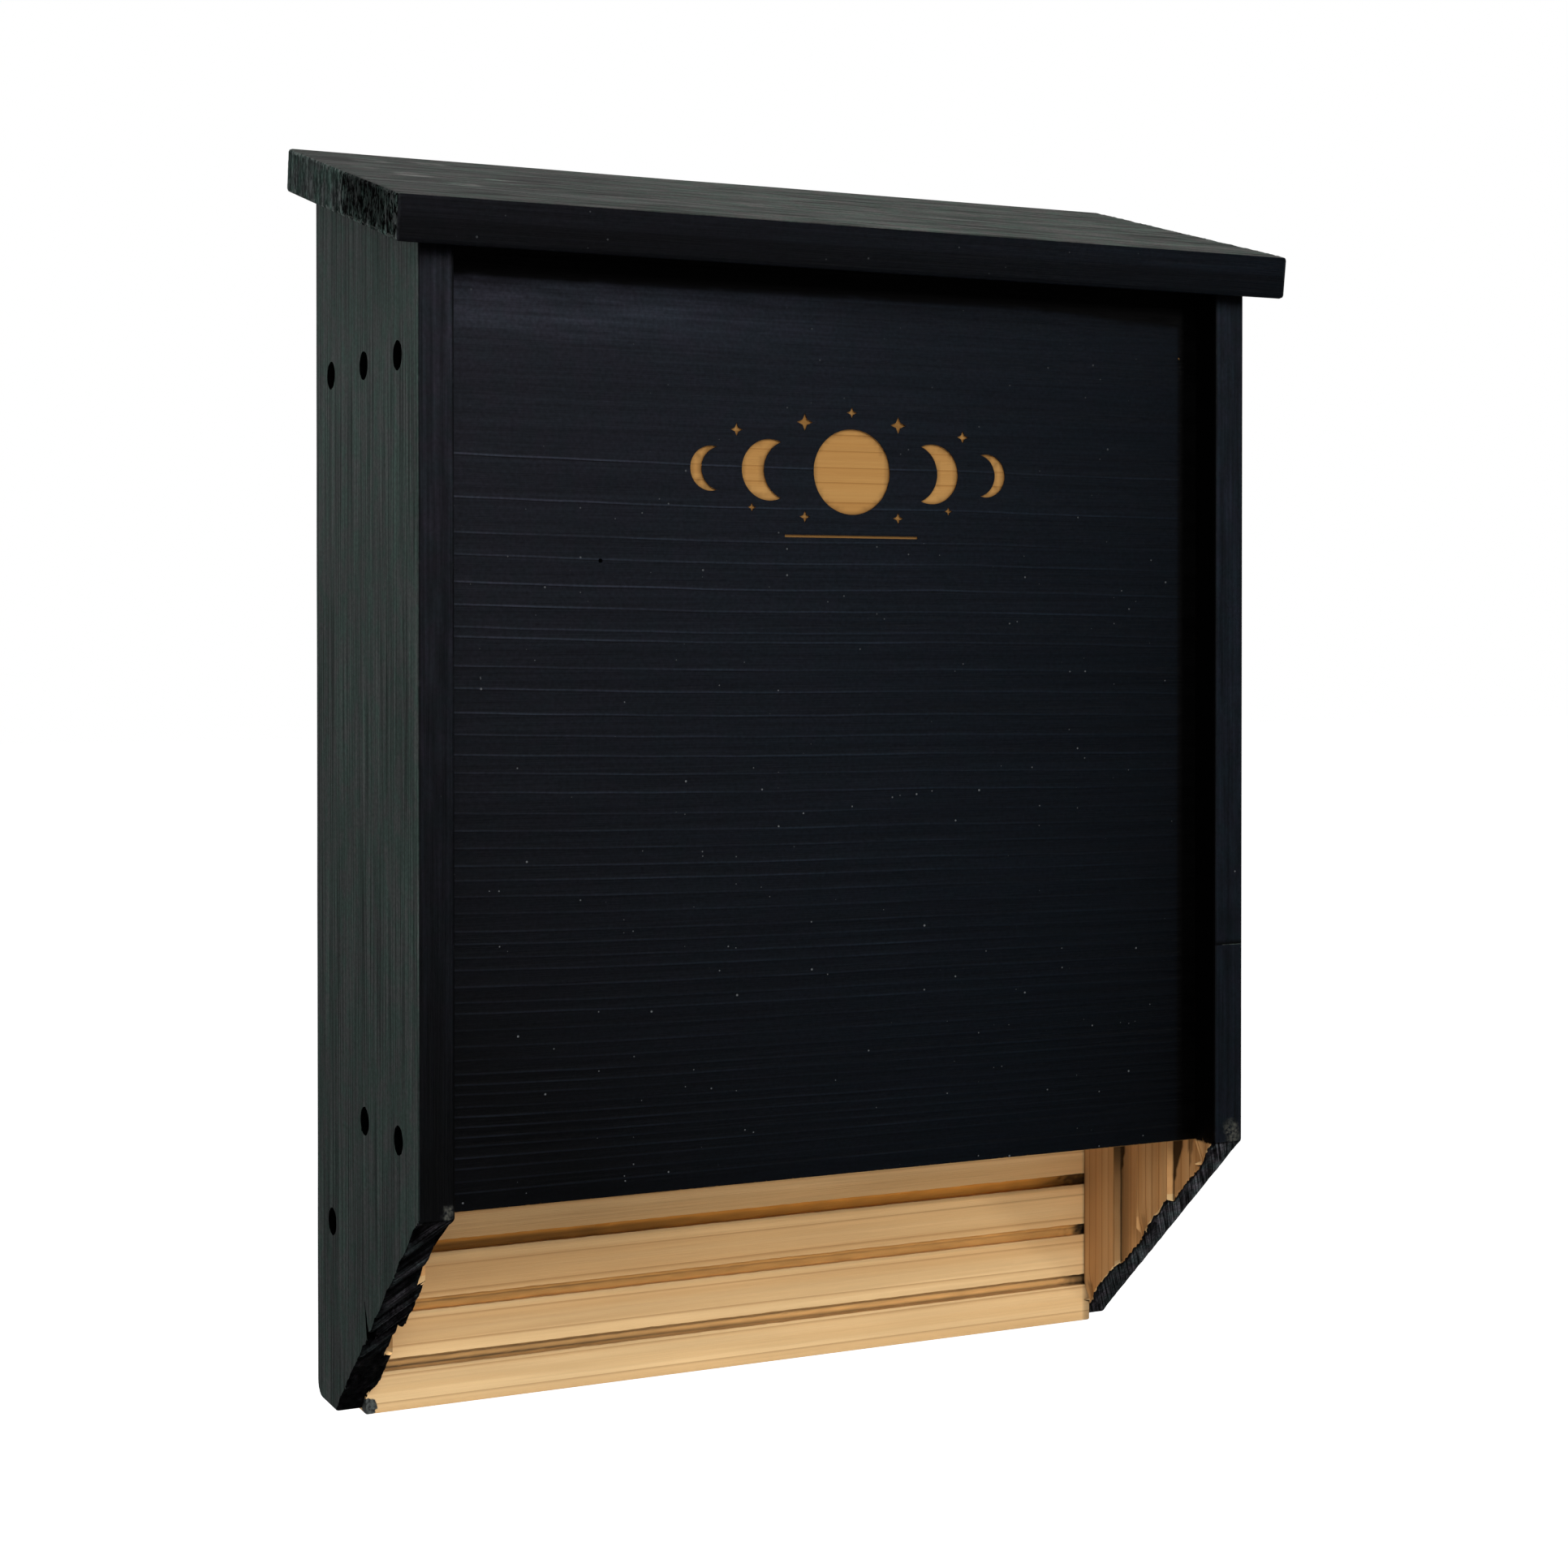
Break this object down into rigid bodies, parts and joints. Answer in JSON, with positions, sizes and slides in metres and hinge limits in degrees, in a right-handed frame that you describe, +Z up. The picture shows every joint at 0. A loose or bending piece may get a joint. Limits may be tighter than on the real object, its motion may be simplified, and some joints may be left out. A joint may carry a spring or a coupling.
{
  "type": "bat box",
  "caption": "Wall-hung wooden bat box: dadoed side boards, grooved back board with a landing strip, inner baffle, front board and a sloping roof, open at the bottom.",
  "frame": {"origin": "on the wall plane, at the top seat of the keyhole slot that hangs on the wall screw, midway between the side boards", "axes": "+Z up, +X to the right as seen from in front, +Y into the wall"},
  "size_m": [0.3524, 0.1368, 0.4652],
  "materials": {
    "painted_wood": "black exterior paint over open-grained softwood",
    "bare_wood": "unfinished sawn softwood",
    "screw_steel": "dark coated steel screw",
    "nail_steel": "bright steel finish nail, set and painted over"
  },
  "bodies": {
    "root": {"left_side_board": "painted_wood", "right_side_board": "painted_wood", "back_board": "bare_wood", "middle_baffle": "bare_wood", "front_board": "painted_wood", "roof_board": "painted_wood", "screw_left_back_top": "screw_steel", "screw_left_back_low": "screw_steel", "screw_left_middle_top": "screw_steel", "screw_left_middle_low": "screw_steel", "screw_left_front_top": "screw_steel", "screw_left_front_low": "screw_steel", "screw_right_back_top": "screw_steel", "screw_right_back_low": "screw_steel", "screw_right_middle_top": "screw_steel", "screw_right_middle_low": "screw_steel", "screw_right_front_top": "screw_steel", "screw_right_front_low": "screw_steel", "roof_nail_1": "nail_steel", "roof_nail_2": "nail_steel", "roof_nail_3": "nail_steel", "roof_nail_4": "nail_steel", "roof_nail_5": "nail_steel", "roof_nail_6": "nail_steel"}
  },
  "joints": []
}
